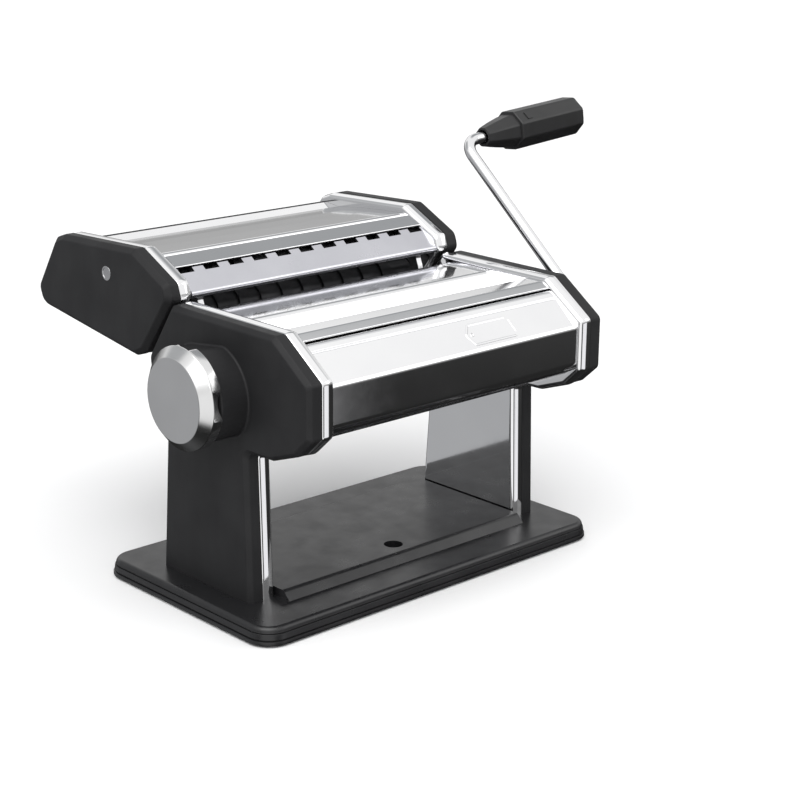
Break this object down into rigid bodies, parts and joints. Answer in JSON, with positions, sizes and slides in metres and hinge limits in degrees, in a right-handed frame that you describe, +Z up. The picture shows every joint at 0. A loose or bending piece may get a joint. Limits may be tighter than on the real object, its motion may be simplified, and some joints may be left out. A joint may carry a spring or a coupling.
{
  "type": "pasta machine",
  "caption": "Hand-cranked pasta roller on a flat base with a thickness knob, smooth rollers and a hooked-on noodle cutter head.",
  "frame": {"origin": "on the ground under the middle of the machine body, between the side plates and under the knob axis", "axes": "+X along the rollers towards the crank, -Y towards the front cover, +Z up"},
  "size_m": [0.3241, 0.2031, 0.1976],
  "materials": {
    "cap_plastic": "satin black",
    "base_plastic": "semi-gloss black",
    "grip_plastic": "satin black",
    "chrome_plate": "polished",
    "chrome_rod": "polished",
    "knob_chrome": "polished",
    "roller_metal": "satin",
    "steel": "bright",
    "gear_steel": "sintered",
    "bush_metal": "plain",
    "rubber": "matte",
    "black_sheet": "satin black",
    "satin_plate": "satin"
  },
  "bodies": {
    "frame": {"base": "base_plastic", "base_feet": "rubber", "leg_screws": "steel", "side_plate_left": "chrome_plate", "side_plate_right": "chrome_plate", "end_cap_left": "cap_plastic", "end_cap_right": "cap_plastic", "front_cover": "chrome_plate", "front_badge": "chrome_plate", "rear_cover": "chrome_plate", "front_guard": "chrome_plate", "rear_guide": "chrome_plate", "tie_rods": "steel", "tie_rod_nuts": "steel", "front_scraper": "steel", "rear_scraper": "steel", "drive_bushes": "bush_metal"},
    "drive": {"drive_roller": "roller_metal", "drive_gear": "gear_steel"},
    "bush_slide": {"slide_bushes": "bush_metal"},
    "moving": {"moving_roller": "roller_metal", "moving_gear": "gear_steel"},
    "shaft": {"adjusting_shaft": "steel", "knob_screw": "steel"},
    "knob": {"knob_body": "knob_chrome", "knob_cap": "knob_chrome", "knob_pin": "steel"},
    "crank": {"crank_rod": "chrome_rod"},
    "grip": {"crank_grip": "grip_plastic", "grip_latch": "grip_plastic"},
    "cutter_head": {"cutter_plate_left": "chrome_plate", "cutter_plate_right": "chrome_plate", "cutter_cap_left": "cap_plastic", "cutter_cap_right": "cap_plastic", "cutter_cap_disc": "steel", "cutter_rear_cover": "black_sheet", "cutter_rear_guide": "chrome_plate", "cutter_mid_guide": "chrome_plate", "cutter_front_plate": "satin_plate", "cutter_tie_rods": "steel", "cutter_nuts": "steel", "cutter_hooks": "steel", "cutter_bushes": "bush_metal", "cutter_combs": "steel"},
    "wide_rear": {"wide_cutter_rear": "gear_steel", "wide_gear_rear": "gear_steel"},
    "wide_front": {"wide_cutter_front": "gear_steel", "wide_gear_front": "gear_steel"},
    "narrow_rear": {"narrow_cutter_rear": "gear_steel", "narrow_gear_rear": "gear_steel"},
    "narrow_front": {"narrow_cutter_front": "gear_steel", "narrow_gear_front": "gear_steel"}
  },
  "joints": [
    {"name": "drive_turn", "type": "hinge", "parent": "frame", "child": "drive", "pos_m": [0, -0.0304, 0.103], "axis": [1, 0, 0], "continuous": true},
    {"name": "bush_travel", "type": "slide", "parent": "frame", "child": "bush_slide", "axis": [0, -1, 0], "range_m": [0, 0.0022]},
    {"name": "moving_turn", "type": "hinge", "parent": "bush_slide", "child": "moving", "pos_m": [0, 0.0011, 0.103], "axis": [1, 0, 0], "continuous": true},
    {"name": "thickness_turn", "type": "hinge", "parent": "frame", "child": "shaft", "pos_m": [0, 0, 0.103], "axis": [1, 0, 0], "range_deg": [0, 180]},
    {"name": "knob_pull", "type": "slide", "parent": "shaft", "child": "knob", "axis": [-1, 0, 0], "range_m": [0, 0.004], "stiffness_N_per_m": 400, "springref_m": -0.002},
    {"name": "crank_pull", "type": "slide", "parent": "drive", "child": "crank", "axis": [1, 0, 0], "range_m": [0, 0.022]},
    {"name": "grip_turn", "type": "hinge", "parent": "crank", "child": "grip", "pos_m": [0.1172, 0.06222, 0.1821], "axis": [0.9957, 0.0702, 0.06], "continuous": true},
    {"name": "head_lift", "type": "slide", "parent": "frame", "child": "cutter_head", "axis": [0, -0.5982, 0.8013], "range_m": [0, 0.014]},
    {"name": "wide_turn", "type": "hinge", "parent": "cutter_head", "child": "wide_rear", "pos_m": [0, 0.07405, 0.13293], "axis": [1, 0, 0], "continuous": true},
    {"name": "wide_front_turn", "type": "hinge", "parent": "cutter_head", "child": "wide_front", "pos_m": [0, 0.0629, 0.1201], "axis": [1, 0, 0], "continuous": true},
    {"name": "narrow_turn", "type": "hinge", "parent": "cutter_head", "child": "narrow_rear", "pos_m": [0, 0.11756, 0.1237], "axis": [1, 0, 0], "continuous": true},
    {"name": "narrow_front_turn", "type": "hinge", "parent": "cutter_head", "child": "narrow_front", "pos_m": [0, 0.1044, 0.1313], "axis": [1, 0, 0], "continuous": true}
  ],
  "couplings": [
    {"joint": "moving_turn", "follows": "drive_turn", "ratio": -1},
    {"joint": "bush_travel", "follows": "thickness_turn", "m_per_rad": 0.0007},
    {"joint": "wide_front_turn", "follows": "wide_turn", "ratio": -1},
    {"joint": "narrow_front_turn", "follows": "narrow_turn", "ratio": -1}
  ]
}
